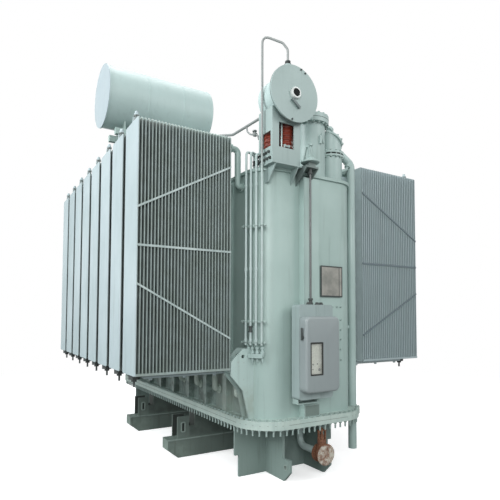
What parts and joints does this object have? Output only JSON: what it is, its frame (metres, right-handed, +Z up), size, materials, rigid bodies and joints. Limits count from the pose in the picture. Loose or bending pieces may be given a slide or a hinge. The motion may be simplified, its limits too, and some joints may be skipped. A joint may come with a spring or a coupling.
{
  "type": "power transformer",
  "caption": "Oil-filled power transformer: upright tank on skids with radiator banks on both sides, oil conservators on top and a tap changer drive cabinet.",
  "frame": {"origin": "on the floor below the middle of the whole transformer", "axes": "+X to the tank's right as seen from the tap changer end, +Y from the tap changer end to the far end, +Z up"},
  "size_m": [5.187, 6.72, 6.887],
  "materials": {
    "tank_paint": "satin grey-green enamel",
    "radiator_paint": "satin grey-green enamel",
    "base_paint": "dull grey-green enamel",
    "conservator_paint": "satin pale grey-green enamel",
    "cabinet_paint": "satin grey enamel",
    "brown_porcelain": "glossy brown glaze",
    "shaft_steel": "dull steel",
    "window_glass": "clear glass over a cream board",
    "rusty_iron": "rusty iron with worn cream paint",
    "plate_metal": "dull etched metal"
  },
  "bodies": {
    "transformer": {"tank_body": "tank_paint", "bottom_plate": "tank_paint", "tank_cover": "tank_paint", "near_wall_channel": "tank_paint", "wall_channels": "tank_paint", "radiator_left_1": "radiator_paint", "radiator_left_2": "radiator_paint", "radiator_left_3": "radiator_paint", "radiator_left_4": "radiator_paint", "radiator_left_5": "radiator_paint", "radiator_left_6": "radiator_paint", "radiator_left_7": "radiator_paint", "radiator_left_8": "radiator_paint", "radiator_right_1": "radiator_paint", "radiator_right_2": "radiator_paint", "radiator_right_3": "radiator_paint", "radiator_right_4": "radiator_paint", "radiator_right_5": "radiator_paint", "radiator_right_6": "radiator_paint", "radiator_right_7": "radiator_paint", "radiator_right_8": "radiator_paint", "radiator_straps": "radiator_paint", "radiator_pipes_left": "tank_paint", "radiator_pipes_right": "tank_paint", "skid_beams": "base_paint", "end_foot_near": "base_paint", "end_foot_far": "base_paint", "main_conservator": "conservator_paint", "conservator_support": "tank_paint", "relay_pipe": "tank_paint", "tap_conservator": "conservator_paint", "tap_conservator_cover": "conservator_paint", "tap_platform": "tank_paint", "tap_stand": "tank_paint", "turret": "tank_paint", "turret_lid": "tank_paint", "angled_turret": "tank_paint", "bushing_posts": "tank_paint", "bushings": "brown_porcelain", "tap_changer_head": "tank_paint", "bevel_gear": "cabinet_paint", "drive_shaft": "shaft_steel", "motor_cabinet": "cabinet_paint", "relief_pot": "tank_paint", "relief_pipe": "tank_paint", "corner_pipes": "tank_paint", "sampling_box": "conservator_paint", "collecting_pipe": "tank_paint", "jacking_brackets": "tank_paint", "drain_pipe": "tank_paint", "drain_valve": "rusty_iron", "data_plate": "plate_metal"},
    "door": {"cabinet_door": "cabinet_paint", "door_window": "window_glass"}
  },
  "joints": [
    {"name": "door_hinge", "type": "hinge", "parent": "transformer", "child": "door", "pos_m": [0.15, -3.2075, 1.344], "axis": [0, 0, 1], "range_deg": [0, 110]}
  ]
}
